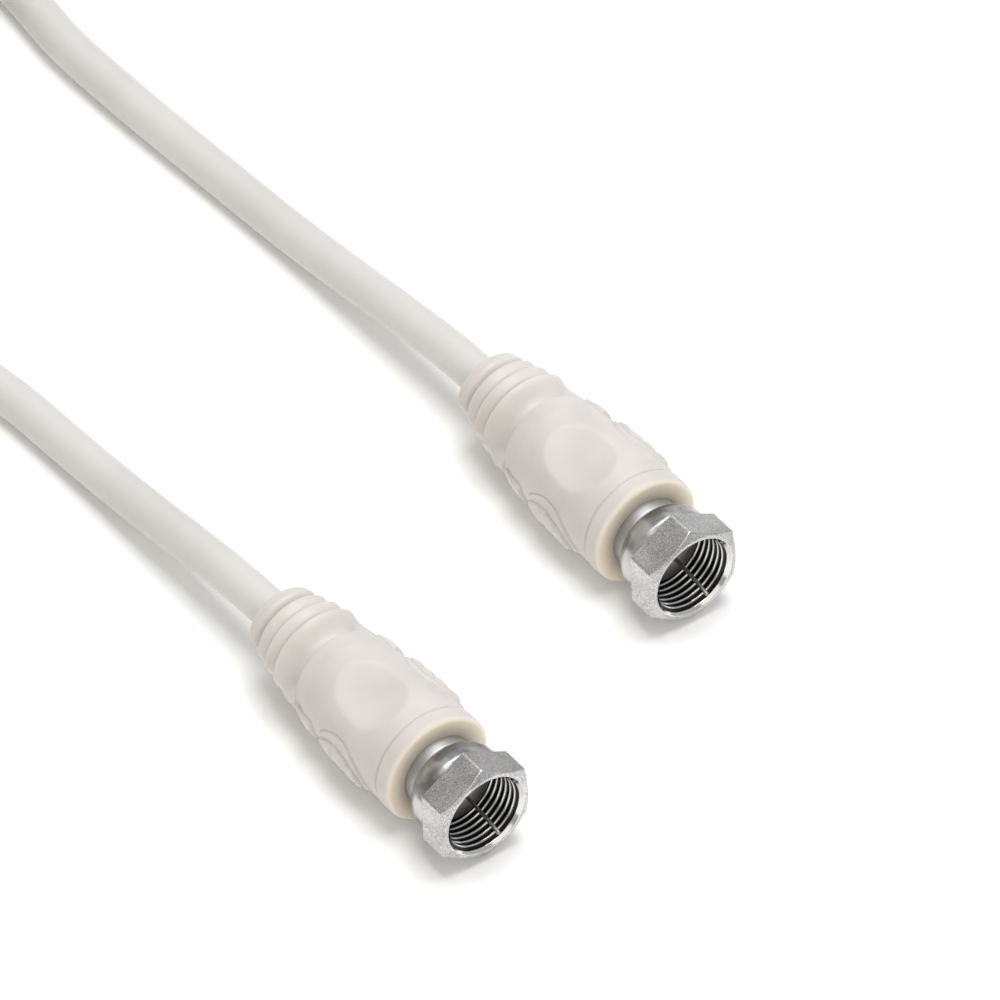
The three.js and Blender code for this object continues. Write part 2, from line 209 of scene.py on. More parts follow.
def passing_through(points, steps):
    line = []
    for i in range(len(points) - 1):
        before = points[max(i - 1, 0)]
        after = points[min(i + 2, len(points) - 1)]
        start, end = points[i], points[i + 1]
        for step in range(steps):
            t = step / steps
            line.append(0.5 * (
                2 * start + (end - before) * t
                + (2 * before - 5 * start + 4 * end - after) * t * t
                + (3 * start - before - 3 * end + after) * t ** 3))
    return line + [points[-1]]


def cable_line():
    outside = coil_outer_turn + cable_radius + beside_turn_gap
    inside = coil_outer_turn - cable_radius
    reach = math.sqrt(outside ** 2 - inside ** 2)
    enter = Vector((
        coil_centre[0] + reach,
        coil_centre[1] + coil_outer_turn + first_turn_gap,
        cable_rest,
    ))
    leave = Vector((
        coil_centre[0] + reach,
        coil_centre[1] - coil_outer_turn - last_turn_gap,
        last_turn_height,
    ))
    first = uncoiled_stretch(boot_back_a, uncoiled_a, enter)
    last = uncoiled_stretch(boot_back_b, uncoiled_b, leave)
    turns = [coil_point(i / steps_per_turn) for i in range(int(coil_turns * steps_per_turn) + 1)]
    straight_in = passing_through(first + [turns[0]], steps_between_places)[:-1]
    straight_out = passing_through([turns[-1]] + last[::-1], steps_between_places)[1:]
    return straight_in + turns + straight_out


def cable_piece():
    points = cable_line()
    curve = bpy.data.curves.new("cable", "CURVE")
    curve.dimensions = "3D"
    spline = curve.splines.new("NURBS")
    spline.points.add(len(points) - 1)
    for spline_point, point in zip(spline.points, points):
        spline_point.co = (*point, 1)
    spline.order_u = 4
    spline.use_endpoint_u = True
    spline.resolution_u = 2
    curve.bevel_depth = cable_radius
    curve.bevel_resolution = 10
    curve.use_fill_caps = True
    cable = bpy.data.objects.new("cable", curve)
    bpy.context.scene.collection.objects.link(cable)
    curve.materials.append(extruded_pvc_jacket())
    return cable, sum((b - a).length for a, b in zip(points, points[1:]))


cable, measured_length = cable_piece()
print("cable length", round(measured_length, 4))
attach(cable, "root")
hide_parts("cable_a", "cable_b", "cable_coil")


# Coil tie
# A flat white plastic band closed round the bundle on the side away from the plugs, pulled
# snug so that the turns keep together on the shelf.
def ring_mesh(name, section_points, width, middle, material):
    mesh = bmesh.new()
    rows = []
    for side in (-0.5, 0.5):
        rows.append([mesh.verts.new((x, side * width, z)) for x, z in section_points[0]])
        rows.append([mesh.verts.new((x, side * width, z)) for x, z in section_points[1]])
    count = len(section_points[0])
    outer_near, inner_near, outer_far, inner_far = rows
    for i in range(count):
        j = (i + 1) % count
        mesh.faces.new((outer_near[i], outer_near[j], outer_far[j], outer_far[i]))
        mesh.faces.new((inner_near[j], inner_near[i], inner_far[i], inner_far[j]))
        mesh.faces.new((outer_near[j], outer_near[i], inner_near[i], inner_near[j]))
        mesh.faces.new((outer_far[i], outer_far[j], inner_far[j], inner_far[i]))
    bmesh.ops.recalc_face_normals(mesh, faces=mesh.faces)
    data = bpy.data.meshes.new(name)
    mesh.to_mesh(data)
    mesh.free()
    data.transform(Matrix.Translation(middle))
    data.materials.append(material)
    band = bpy.data.objects.new(name, data)
    bpy.context.scene.collection.objects.link(band)
    return band


def rounded_loop(left, right, bottom, top, corner, count=8):
    points = []
    for centre_x, centre_z, start in (
        (right - corner, bottom + corner, -90), (right - corner, top - corner, 0),
        (left + corner, top - corner, 90), (left + corner, bottom + corner, 180),
    ):
        for i in range(count + 1):
            angle = math.radians(start + 90 * i / count)
            points.append((centre_x + corner * math.cos(angle), centre_z + corner * math.sin(angle)))
    return points


# Polypropylene strip is smooth and a little waxy, with a soft even gloss.
def extruded_polypropylene():
    material, tree = new_material("extruded_polypropylene")
    place = add_node(tree, "ShaderNodeTexCoord").outputs["Object"]
    grain = add_node(tree, "ShaderNodeTexNoise", {"Scale": 1 / 0.0004, "Detail": 2}, {"Vector": place})
    shade = add_node(tree, "ShaderNodeValToRGB", {}, {"Fac": grain.outputs["Fac"]})
    shade.color_ramp.elements[0].color = linear("EEEDEA")
    shade.color_ramp.elements[1].color = linear("F5F4F2")
    bump = add_node(
        tree, "ShaderNodeBump", {"Strength": 0.15, "Distance": 0.00003}, {"Height": grain.outputs["Fac"]})
    surface = add_node(
        tree, "ShaderNodeBsdfPrincipled", {"Roughness": 0.38, "IOR": 1.49},
        {"Base Color": shade.outputs["Color"], "Normal": bump.outputs["Normal"]})
    add_node(tree, "ShaderNodeOutputMaterial", {}, {"Surface": surface.outputs["BSDF"]})
    return material


def tie_piece():
    low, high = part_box("coil_tie")
    thickness = 0.45 * mm
    slack = 0.05 * mm
    corner = 2.1 * mm
    width = high[1] - low[1]
    top = cable_rest + cable_diameter + cable_radius + tie_lift + thickness + slack
    outer = rounded_loop(low[0], high[0], 0, top, corner)
    inner = rounded_loop(
        low[0] + thickness, high[0] - thickness, thickness, top - thickness, corner - thickness)
    middle = Vector((0, (low[1] + high[1]) / 2, 0))
    band = ring_mesh("coil_tie_band", (outer, inner), width, middle, extruded_polypropylene())
    bevel = band.modifiers.new("edge", "BEVEL")
    bevel.width = 0.12 * mm
    bevel.segments = 2
    bevel.limit_method = "ANGLE"
    return band


tie = tie_piece()
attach(tie, "root")
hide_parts("coil_tie")


# Boots
# Each plug's boot is one piece of flexible PVC moulded over the ferrule and the cable's end:
# a round front collar, a body with a dished oval thumb pad above and below and a ribbed leaf
# grip on each side, and a ribbed strain relief whose ribs fade out at the sides.
plug_roll = math.radians(22.5)


def plug_matrix(end):
    return Matrix.Translation(mouth_of(end)) @ Matrix.Rotation(plug_roll, 4, "X")


# Sizes are in mm, and stations count from the nut's mouth, so those behind it are negative
boot_front = -8.7
collar_back = -10.8
body_back = -27.0
boot_end = -37.1
socket_radius = 4.27
socket_bottom = -13
collar_radius = 6.6
collar_edge_round = 0.6
# The painted warm light on the collar's front face fades out over this length behind it, in mm
painted_face_light_fade = 0.45
collar_round_steps = 8
groove_half_width = 0.22
groove_depth = 0.28
groove_steps = 4
body_outline = [
    (collar_back - 0.3, 6.5), (-14.9, 6.5), (-19.7, 6.3), (-24.2, 6.05), (body_back, 5.45),
]
body_end_round = 0.6
relief_front_radius = 5.8
relief_end_radius = 3.8
relief_end_round = 0.9
relief_bulge = 1.3
rib_steps = [body_back, body_back - 3.2, body_back - 5.2, body_back - 7.2, boot_end]
rib_rise = 0.65
rib_step_share = 0.86
rib_foot_depth = 0.5
rib_foot_half_width = 0.28
rib_foot_share = rib_step_share - 0.02
rib_fade_from = 0.05
rib_fade_to = 0.45
last_rib_level_share = 0.5
valley_depth = 1.3
pad_centre = body_back + 9.2
pad_half_length = 4.6
pad_height = 5.35
pad_rim_height = 6.3
pad_bowl = 2.4
pad_reach = 1.2
pad_edge = 0.07
grip_front = body_back + 14.6
grip_length = 8.7
grip_half_width = 3.6
grip_inner_half_width = 2.2
grip_band = 0.9
grip_rise = 0.22
grip_inner_rise = 0.26
grip_edge = (-0.05, 0.15)
leaf_widest = 0.6
leaf_narrowing = 0.45
grip_rib_pitch = 1.85
grip_rib_rise = 0.34
grip_rib_roundness = 0.7
grip_rib_fade = 0.3
bar_front = body_back + 3.9
bar_back = body_back + 0.9
bar_half_width = 1.6
bar_rise = 0.42
cable_hole_gap = 0.06
cable_hole_depth = 1.5
boot_columns = 224
boot_row_step = 0.13


def lerp(start, end, share):
    return start + (end - start) * share


# The plain outline seen from the side: a radius for each station in mm behind the mouth
def boot_radius(station):
    if station <= body_back:
        straight = body_back - boot_end - relief_end_round
        share = min((body_back - station) / straight, 1) ** relief_bulge
        radius = lerp(relief_front_radius, relief_end_radius, share)
        into_round = (boot_end + relief_end_round - station) / relief_end_round
        if into_round > 0:
            radius -= relief_end_round * (1 - math.sqrt(max(1 - into_round ** 2, 0)))
        return radius
    for (front, front_radius), (rear, rear_radius) in zip(body_outline, body_outline[1:]):
        if station >= rear:
            share = (front - station) / (front - rear)
            return lerp(front_radius, rear_radius, 0.5 * (share + smooth_step(0, 1, share)))
    return body_outline[-1][1]


# How far the top stands above that outline: each rib falls gently towards the plug and then
# steps up sharply to the next one, and the last falls into the valley behind the body.
def top_rise(station):
    if station > body_back:
        into_round = 1 - (station - body_back) / body_end_round
        if into_round <= 0:
            return 0
        drop = body_outline[-1][1] - (relief_front_radius - valley_depth)
        return -drop * (1 - math.sqrt(1 - into_round ** 2))
    for i in range(len(rib_steps) - 1):
        front, rear = rib_steps[i], rib_steps[i + 1]
        if station < rear:
            continue
        share = (station - rear) / (front - rear)
        floor = -valley_depth if i == 0 else 0
        level_share = last_rib_level_share if i == len(rib_steps) - 2 else 0
        fall = smooth_step(level_share, rib_step_share, share)
        climb = 0 if i == 0 else smooth_step(rib_step_share, 1, share)
        from_foot = (station - lerp(rear, front, rib_foot_share)) / rib_foot_half_width
        foot = rib_foot_depth * math.exp(-from_foot ** 2) if i > 0 else 0
        return lerp(rib_rise, floor, fall * (1 - climb)) - foot
    return 0


def leaf_half_width(station, front, length, half_width):
    share = (front - station) / length
    if share < 0 or share > 1:
        return -1
    if share < leaf_widest:
        return half_width * math.sin(math.pi / 2 * share / leaf_widest)
    past_widest = (share - leaf_widest) / (1 - leaf_widest)
    return half_width * (1 - leaf_narrowing * past_widest ** 2)


def fine_groove(inside, depth, half_width):
    return depth * math.exp(-(inside / half_width) ** 2)


# A raised leaf with a finer step inside it, cross ribs in the middle, and a short bar behind
# it, each with a fine groove round its edge
def grip_height(station, radius, over_top):
    across = radius * math.asin(over_top)
    outer = leaf_half_width(station, grip_front, grip_length, grip_half_width) - across
    inner_front = grip_front - grip_band
    inner_length = grip_length - grip_band
    inner = leaf_half_width(station, inner_front, inner_length, grip_inner_half_width) - across
    height = grip_rise * smooth_step(*grip_edge, outer)
    height += grip_inner_rise * smooth_step(*grip_edge, inner)
    height -= fine_groove(outer, depth=0.12, half_width=0.14)
    height -= fine_groove(inner, depth=0.1, half_width=0.12)
    if inner > 0:
        wave = abs(math.sin(math.pi * (inner_front - station) / grip_rib_pitch))
        rib = wave ** grip_rib_roundness
        height += grip_rib_rise * (rib - 0.5) * smooth_step(0, grip_rib_fade, inner)
    bar = min(bar_front - station, station - bar_back, bar_half_width - across)
    height -= fine_groove(bar, depth=0.1, half_width=0.14)
    return height + bar_rise * smooth_step(*grip_edge, bar)


# The boot's surface at a station and an angle from its top, as a distance from the axis
def boot_height(station, angle):
    over_top = abs(math.cos(angle))
    radius = boot_radius(station)
    height = radius + smooth_step(rib_fade_from, rib_fade_to, over_top) * top_rise(station)
    from_pad = abs((station - pad_centre) / pad_half_length)
    if from_pad < pad_reach:
        flat = lerp(pad_height, pad_rim_height, from_pad ** pad_bowl)
        height = soft_least((height, flat / max(over_top, 0.1)), pad_edge)
    if body_back < station < body_outline[0][0]:
        height += grip_height(station, radius, over_top)
    return height


def soft_least(values, softness):
    least = min(values)
    return least - softness * math.log(sum(math.exp((least - v) / softness) for v in values))


def collar_rows():
    rows = [(socket_bottom, socket_radius), (boot_front, socket_radius)]
    rows.append((boot_front, collar_radius - collar_edge_round))
    for i in range(1, collar_round_steps + 1):
        angle = math.pi / 2 * i / collar_round_steps
        rows.append((
            boot_front - collar_edge_round * (1 - math.cos(angle)),
            collar_radius - collar_edge_round * (1 - math.sin(angle))))
    rows.append((collar_back + groove_half_width + 0.1, collar_radius))
    for i in range(-groove_steps, groove_steps + 1):
        across = i / groove_steps
        edge_radius = lerp(collar_radius, body_outline[0][1], (across + 1) / 2)
        depth = groove_depth * math.cos(math.pi / 2 * across)
        rows.append((collar_back - groove_half_width * across, edge_radius - depth))
    return rows


def boot_rings():
    turns = [2 * math.pi * i / boot_columns for i in range(boot_columns)]
    rings = [[row] * boot_columns for row in collar_rows()]
    rows = round((body_outline[0][0] - boot_end) / boot_row_step)
    for row in range(rows):
        station = lerp(body_outline[0][0], boot_end, row / rows)
        rings.append([(station, boot_height(station, angle)) for angle in turns])
    hole_radius = cable_radius / mm + cable_hole_gap
    for row in (
        (boot_end, relief_end_radius - relief_end_round),
        (boot_end, hole_radius),
        (boot_end + cable_hole_depth, hole_radius),
    ):
        rings.append([row] * boot_columns)
    return rings


# A vertex value is 1 on the collar's front face and fades to 0 just behind it; it marks where the
# material paints warm light on that face
def boot_piece(end):
    mesh = bmesh.new()
    painted_light_layer = mesh.verts.layers.float.new("painted_face_light")
    loops = []
    for ring in boot_rings():
        loop = []
        for i, (station, radius) in enumerate(ring):
            angle = 2 * math.pi * i / boot_columns
            vert = mesh.verts.new((
                station * mm, -radius * math.sin(angle) * mm, radius * math.cos(angle) * mm))
            vert[painted_light_layer] = 1 - smooth_step(0, painted_face_light_fade, boot_front - station)
            loop.append(vert)
        loops.append(loop)
    for near, far in zip(loops, loops[1:]):
        for i in range(boot_columns):
            j = (i + 1) % boot_columns
            mesh.faces.new((near[i], near[j], far[j], far[i]))
    mesh.faces.new(loops[0][::-1])
    mesh.faces.new(loops[-1])
    bmesh.ops.recalc_face_normals(mesh, faces=mesh.faces)
    return finished_mesh(f"moulded_boot_{end}", mesh, plug_matrix(end), moulded_pvc)


def finished_mesh(name, mesh, matrix, material):
    for face in mesh.faces:
        face.smooth = True
    data = bpy.data.meshes.new(name)
    mesh.to_mesh(data)
    mesh.free()
    data.transform(matrix)
    data.materials.append(material)
    piece = bpy.data.objects.new(name, data)
    bpy.context.scene.collection.objects.link(piece)
    return piece


# Flexible PVC from a lightly spark-eroded mould: a soft satin skin with a very fine tooth, drawn
# about 0.2 mm across so that it shows at all. The collar's front face is painted paler and yellower:
# painted warm light on a face that the lamps leave in shade.
def moulded_pvc_boot():
    material, tree = new_material("moulded_pvc_boot")
    place = add_node(tree, "ShaderNodeTexCoord").outputs["Object"]
    cloud = add_node(tree, "ShaderNodeTexNoise", {"Scale": 1 / 0.006, "Detail": 2}, {"Vector": place})
    tooth = add_node(tree, "ShaderNodeTexNoise", {"Scale": 1 / 0.00018, "Detail": 3}, {"Vector": place})
    shade = add_node(tree, "ShaderNodeValToRGB", {}, {"Fac": cloud.outputs["Fac"]})
    shade.color_ramp.elements[0].position = 0.35
    shade.color_ramp.elements[0].color = linear("D0CBC7")
    shade.color_ramp.elements[1].position = 0.65
    shade.color_ramp.elements[1].color = linear("D6D2CE")
    # Painted light: the collar's front face is mixed towards a paler, yellower colour
    painted_face_light = add_node(tree, "ShaderNodeAttribute", {"attribute_name": "painted_face_light"}).outputs["Fac"]
    colour = add_node(
        tree, "ShaderNodeMix", {"data_type": "RGBA", 7: linear("F2E8D6")},
        {"Factor": painted_face_light, 6: shade.outputs["Color"]})
    bump = add_node(
        tree, "ShaderNodeBump", {"Strength": 0.2, "Distance": 0.00003}, {"Height": tooth.outputs["Fac"]})
    surface = add_node(
        tree, "ShaderNodeBsdfPrincipled",
        {"Roughness": 0.48, "IOR": 1.53, "Subsurface Weight": 0.35, "Subsurface Scale": 0.0012,
         "Subsurface Radius": (1, 0.85, 0.6)},
        {"Base Color": colour.outputs[2], "Normal": bump.outputs["Normal"]})
    add_node(tree, "ShaderNodeOutputMaterial", {}, {"Surface": surface.outputs["BSDF"]})
    return material


moulded_pvc = moulded_pvc_boot()
for end in "ab":
    boot = boot_piece(end)
    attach(boot, "root")
    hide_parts(f"boot_{end}")


# Coupling nuts
# Each nut is turned and milled from brass bar, 11 mm across flats, with a round neck behind
# the hexagon and a 3/8-32 thread inside, then tumbled and nickel plated.
hex_apothem = 5.5
hex_length = 3.9
nut_length = 7.0
nut_turn = math.radians(9.6)
rim_radius = 5.3
chamfer_slope = 1.75
neck_radius = 5.4
neck_end_radius = 4.7
neck_taper = 1.5
neck_relief_depth = 0.32
neck_relief_length = 0.7
thread_pitch = 0.794
thread_minor = 4.33
thread_major = 4.78
countersink_radius = 4.95
bore_bottom = -6.0
hole_radius = 3.55
edge_break = 0.05
back_corner_break = 0.1
chamfer_length = 0.75
corner_softness = 0.02
rim_softness = 0.015
thread_crest_share = 0.1
countersink_slope = 0.85
columns_per_flat = 44
column_bunching = 0.11
chamfer_steps = 14
flat_steps = 14
neck_steps = 16
thread_steps = 110

# The vertex value thread_depth says what a point of the nut is: 0 on the outside, neck_mark on
# the neck, and in the bore from crest_mark on a thread's crest to 1 in the valley beside it.
# The material paints the flanks, the valleys and the back of the bore dark with it, as painted shade.
crest_mark = 0.5
neck_mark = -0.5


def hex_radius(angle):
    from_flat = (angle - nut_turn) % (math.pi / 3) - math.pi / 6
    here = hex_apothem / math.cos(from_flat)
    beyond = hex_apothem / max(math.cos(math.pi / 3 - abs(from_flat)), 0.2)
    return soft_least((here, beyond), corner_softness)


def neck_at(station):
    behind_hex = -station - hex_length
    relief = neck_relief_depth * (1 - smooth_step(0, neck_relief_length, behind_hex))
    into_taper = max(0, -station - (nut_length - neck_taper)) / neck_taper
    return lerp(neck_radius, neck_end_radius, into_taper ** 1.4) - relief


# The thread is a helix whose ridges have narrow flat crests and sides about 70 degrees apart.
# It winds left-handed here, and the real one is right-handed.
def thread_at(station, angle):
    phase = (station / thread_pitch + angle / (2 * math.pi)) % 1
    tooth = abs(2 * phase - 1)
    flank_share = 1 - 2 * thread_crest_share
    depth = min(max((tooth - thread_crest_share) / flank_share, 0), 1)
    radius = lerp(thread_minor, thread_major, depth)
    lead_in = countersink_radius + station * countersink_slope
    return (lead_in, crest_mark) if lead_in > radius else (radius, lerp(crest_mark, 1, depth))


# Columns crowd towards the middle of each flat, where the chamfer's edge curves most
def nut_columns():
    angles = []
    for side in range(6):
        for i in range(columns_per_flat):
            share = i / columns_per_flat
            bunched = share + column_bunching * math.sin(2 * math.pi * share)
            angles.append(nut_turn + math.pi / 3 * (side + bunched))
    return angles


# Rings of the nut's surface, from the mouth's rim back over the outside and out of the bore
def nut_rings(angles):
    rings = []
    chamfer_end = -edge_break - chamfer_length
    stations = [0, -0.02, -edge_break]
    for i in range(1, chamfer_steps + 1):
        stations.append(-edge_break - chamfer_length * i / chamfer_steps)
    for i in range(1, flat_steps + 1):
        stations.append(lerp(chamfer_end, -hex_length + back_corner_break, i / flat_steps))
    stations += [-hex_length + edge_break, -hex_length + 0.02]
    for station in stations:
        rim = rim_radius - station * chamfer_slope
        ring = []
        for angle in angles:
            ring.append((station, soft_least((hex_radius(angle), rim), rim_softness), 0))
        rings.append(ring)
    rings.append([(-hex_length, hex_radius(angle) - 0.04, 0) for angle in angles])
    neck_rows = [
        (-hex_length, neck_at(-hex_length) + edge_break, 0),
        (-hex_length - edge_break, neck_at(-hex_length), neck_mark),
    ]
    for i in range(1, neck_steps + 1):
        station = lerp(-hex_length - edge_break, -nut_length + 0.08, i / neck_steps)
        neck_rows.append((station, neck_at(station), neck_mark))
    neck_rows += [
        (-nut_length, neck_end_radius - back_corner_break, 0),
        (-nut_length, hole_radius, 0),
        (bore_bottom, hole_radius, 1),
    ]
    rings += [[row] * len(angles) for row in neck_rows]
    for i in range(thread_steps + 1):
        station = lerp(bore_bottom, -0.005, i / thread_steps)
        rings.append([(station, *thread_at(station, angle)) for angle in angles])
    rings.append([(0, countersink_radius + 0.04, 0)] * len(angles))
    return rings


def nut_piece(end):
    angles = nut_columns()
    mesh = bmesh.new()
    depth_layer = mesh.verts.layers.float.new("thread_depth")
    loops = []
    for ring in nut_rings(angles):
        loop = []
        for angle, (station, radius, depth) in zip(angles, ring):
            vert = mesh.verts.new((
                station * mm, radius * math.cos(angle) * mm, radius * math.sin(angle) * mm))
            vert[depth_layer] = depth
            loop.append(vert)
        loops.append(loop)
    for near, far in zip(loops, loops[1:] + loops[:1]):
        for i in range(len(angles)):
            j = (i + 1) % len(angles)
            mesh.faces.new((near[i], near[j], far[j], far[i]))
    bmesh.ops.recalc_face_normals(mesh, faces=mesh.faces)
    return finished_mesh(f"coupling_nut_{end}", mesh, plug_matrix(end), tumbled_nickel)


# Nickel plate over tumbled brass: a light grey metal whose flats are peened to a fine broken
# speckle, drawn 0.16 mm across. The neck's tone has only soft darker patches a few mm across.
# In the bore the crests are cut bright and smooth, and the flanks, the valleys between them and the back
# of the bore are painted near black as painted shade.
def tumbled_nickel_plate():
    material, tree = new_material("tumbled_nickel_plate")
    place = add_node(tree, "ShaderNodeTexCoord").outputs["Object"]
    peening = add_node(
        tree, "ShaderNodeTexNoise", {"Scale": 1 / 0.00016, "Detail": 3, "Roughness": 0.7},
        {"Vector": place})
    patches = add_node(tree, "ShaderNodeTexNoise", {"Scale": 1 / 0.0032, "Detail": 2}, {"Vector": place})
    mottle = add_node(
        tree, "ShaderNodeMath", {"operation": "MULTIPLY_ADD", 1: 0.3},
        {0: patches.outputs["Fac"], 2: peening.outputs["Fac"]})
    flats = add_node(tree, "ShaderNodeValToRGB", {}, {"Fac": mottle.outputs["Value"]})
    flats.color_ramp.elements[0].position = 0.52
    flats.color_ramp.elements[0].color = linear("A0A0A0")
    flats.color_ramp.elements[1].position = 0.76
    flats.color_ramp.elements[1].color = linear("E0E0E0")
    depth = add_node(tree, "ShaderNodeAttribute", {"attribute_name": "thread_depth"}).outputs["Fac"]
    # Painted shade: from just off each crest into the valleys, and at the back of the bore, the colour
    # goes near black
    bore_painted_shade = add_node(tree, "ShaderNodeValToRGB", {}, {"Fac": depth})
    bore_painted_shade.color_ramp.elements[0].position = crest_mark + 0.06
    bore_painted_shade.color_ramp.elements[0].color = linear("E0E0DE")
    bore_painted_shade.color_ramp.elements[1].position = crest_mark + 0.2
    bore_painted_shade.color_ramp.elements[1].color = linear("2A2928")
    in_bore = add_node(tree, "ShaderNodeMapRange", {"From Max": 0.2}, {"Value": depth})
    neck = add_node(tree, "ShaderNodeValToRGB", {}, {"Fac": patches.outputs["Fac"]})
    neck.color_ramp.elements[0].position = 0.42
    neck.color_ramp.elements[0].color = linear("8A8A8A")
    neck.color_ramp.elements[1].position = 0.56
    neck.color_ramp.elements[1].color = linear("CCCCCC")
    on_neck = add_node(tree, "ShaderNodeMapRange", {"From Max": neck_mark}, {"Value": depth})
    outside = add_node(
        tree, "ShaderNodeMix", {"data_type": "RGBA"},
        {"Factor": on_neck.outputs["Result"], 6: flats.outputs["Color"], 7: neck.outputs["Color"]})
    colour = add_node(
        tree, "ShaderNodeMix", {"data_type": "RGBA"},
        {"Factor": in_bore.outputs["Result"], 6: outside.outputs[2], 7: bore_painted_shade.outputs["Color"]})
    rough = add_node(
        tree, "ShaderNodeMapRange", {"From Max": 0.2, "To Min": 0.38, "To Max": 0.16}, {"Value": depth})
    relief = add_node(
        tree, "ShaderNodeMapRange", {"From Max": 0.2, "To Min": 0.35, "To Max": 0.0}, {"Value": depth})
    bump = add_node(
        tree, "ShaderNodeBump", {"Distance": 0.00003},
        {"Height": peening.outputs["Fac"], "Strength": relief.outputs["Result"]})
    surface = add_node(
        tree, "ShaderNodeBsdfPrincipled", {"Metallic": 1.0},
        {"Base Color": colour.outputs[2], "Roughness": rough.outputs["Result"],
         "Normal": bump.outputs["Normal"]})
    add_node(tree, "ShaderNodeOutputMaterial", {}, {"Surface": surface.outputs["BSDF"]})
    return material


tumbled_nickel = tumbled_nickel_plate()
for end in "ab":
    nut = nut_piece(end)
    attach(nut, f"nut_{end}")
    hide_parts(f"nut_{end}")


# Ferrules
# The barrel that comes out of each boot is turned smooth and plated: its shank passes through
# the nut and the flange inside keeps the nut on.
def turned_mesh(name, outline, columns, matrix, material):
    mesh = bmesh.new()
    loops = []
    for station, radius in outline:
        loops.append([
            mesh.verts.new((
                station * mm,
                radius * math.cos(2 * math.pi * i / columns) * mm,
                radius * math.sin(2 * math.pi * i / columns) * mm))
            for i in range(columns)
        ])
    for near, far in zip(loops, loops[1:]):
        for i in range(columns):
            j = (i + 1) % columns
            mesh.faces.new((near[i], near[j], far[j], far[i]))
    mesh.faces.new(loops[0])
    mesh.faces.new(loops[-1][::-1])
    bmesh.ops.recalc_face_normals(mesh, faces=mesh.faces)
    return finished_mesh(name, mesh, matrix, material)


def bevelled(outline, size):
    corner_share = 0.3
    points = []
    for i, (station, radius) in enumerate(outline):
        if i in (0, len(outline) - 1):
            points.append((station, radius))
            continue
        here = Vector((station, radius))
        before, after = Vector(outline[i - 1]), Vector(outline[i + 1])
        to_before = (before - here).normalized() * min(size, (before - here).length / 2)
        to_after = (after - here).normalized() * min(size, (after - here).length / 2)
        points.append(tuple(here + to_before))
        points.append(tuple(here + to_before * corner_share + to_after * corner_share))
        points.append(tuple(here + to_after))
    return points


# The same plate over turned metal is smooth and softly bright, with faint rings from the tool.
# Real ones are too fine to show, so they are drawn coarser here, about 0.2 mm apart.
def turned_nickel_plate():
    material, tree = new_material("turned_nickel_plate")
    place = add_node(tree, "ShaderNodeTexCoord").outputs["Object"]
    rings = add_node(
        tree, "ShaderNodeTexWave",
        {"wave_type": "BANDS", "bands_direction": "X", "Scale": 1 / 0.0006, "Distortion": 1.5,
         "Detail": 2}, {"Vector": place})
    shade = add_node(tree, "ShaderNodeValToRGB", {}, {"Fac": rings.outputs["Fac"]})
    shade.color_ramp.elements[0].color = linear("B0B0B1")
    shade.color_ramp.elements[1].color = linear("BABABB")
    bump = add_node(
        tree, "ShaderNodeBump", {"Strength": 0.08, "Distance": 0.00002}, {"Height": rings.outputs["Fac"]})
    surface = add_node(
        tree, "ShaderNodeBsdfPrincipled", {"Metallic": 1.0, "Roughness": 0.5},
        {"Base Color": shade.outputs["Color"], "Normal": bump.outputs["Normal"]})
    add_node(tree, "ShaderNodeOutputMaterial", {}, {"Surface": surface.outputs["BSDF"]})
    return material


ferrule_outline = [
    (-12.7, 1.55), (-12.7, 4.25), (-7.55, 4.25), (-7.3, 4.0), (-7.3, 3.4), (-5.7, 3.4),
    (-5.7, 4.05), (-4.9, 4.05), (-4.9, 1.5), (-5.4, 1.5),
]
ferrule_bevel = 0.12
ferrule_columns = 128
turned_nickel = turned_nickel_plate()
for end in "ab":
    ferrule = turned_mesh(
        f"turned_ferrule_{end}", bevelled(ferrule_outline, ferrule_bevel), ferrule_columns,
        plug_matrix(end), turned_nickel)
    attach(ferrule, "root")
    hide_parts(f"ferrule_{end}")


# Foam dielectric and centre pin
# The cable's own core ends flush with the flange: white foamed polyethylene round the bare
# tinned conductor, which is cut to stand out 2.8 mm past the nut's mouth.
# Foamed polyethylene is a matt white, with fine cells that only just break up its tone
def foamed_polyethylene():
    material, tree = new_material("foamed_polyethylene")
    place = add_node(tree, "ShaderNodeTexCoord").outputs["Object"]
    cells = add_node(tree, "ShaderNodeTexVoronoi", {"Scale": 1 / 0.00015}, {"Vector": place})
    shade = add_node(tree, "ShaderNodeValToRGB", {}, {"Fac": cells.outputs["Distance"]})
    shade.color_ramp.elements[0].color = linear("F0EFEB")
    shade.color_ramp.elements[1].color = linear("E2E1DC")
    surface = add_node(
        tree, "ShaderNodeBsdfPrincipled", {"Roughness": 0.7, "IOR": 1.3},
        {"Base Color": shade.outputs["Color"]})
    add_node(tree, "ShaderNodeOutputMaterial", {}, {"Surface": surface.outputs["BSDF"]})
    return material


# Tinned wire is a dull mid grey metal, with faint uneven bands of tone across it
def drawn_tinned_wire():
    material, tree = new_material("drawn_tinned_wire")
    place = add_node(tree, "ShaderNodeTexCoord").outputs["Object"]
    squeezed = add_node(tree, "ShaderNodeMapping", {"Scale": (40, 1, 1)}, {"Vector": place})
    bands = add_node(
        tree, "ShaderNodeTexNoise", {"Scale": 1 / 0.004, "Detail": 2},
        {"Vector": squeezed.outputs["Vector"]})
    shade = add_node(tree, "ShaderNodeValToRGB", {}, {"Fac": bands.outputs["Fac"]})
    shade.color_ramp.elements[0].color = linear("8E8A85")
    shade.color_ramp.elements[1].color = linear("A6A29C")
    surface = add_node(
        tree, "ShaderNodeBsdfPrincipled", {"Metallic": 1.0, "Roughness": 0.3},
        {"Base Color": shade.outputs["Color"]})
    add_node(tree, "ShaderNodeOutputMaterial", {}, {"Surface": surface.outputs["BSDF"]})
    return material


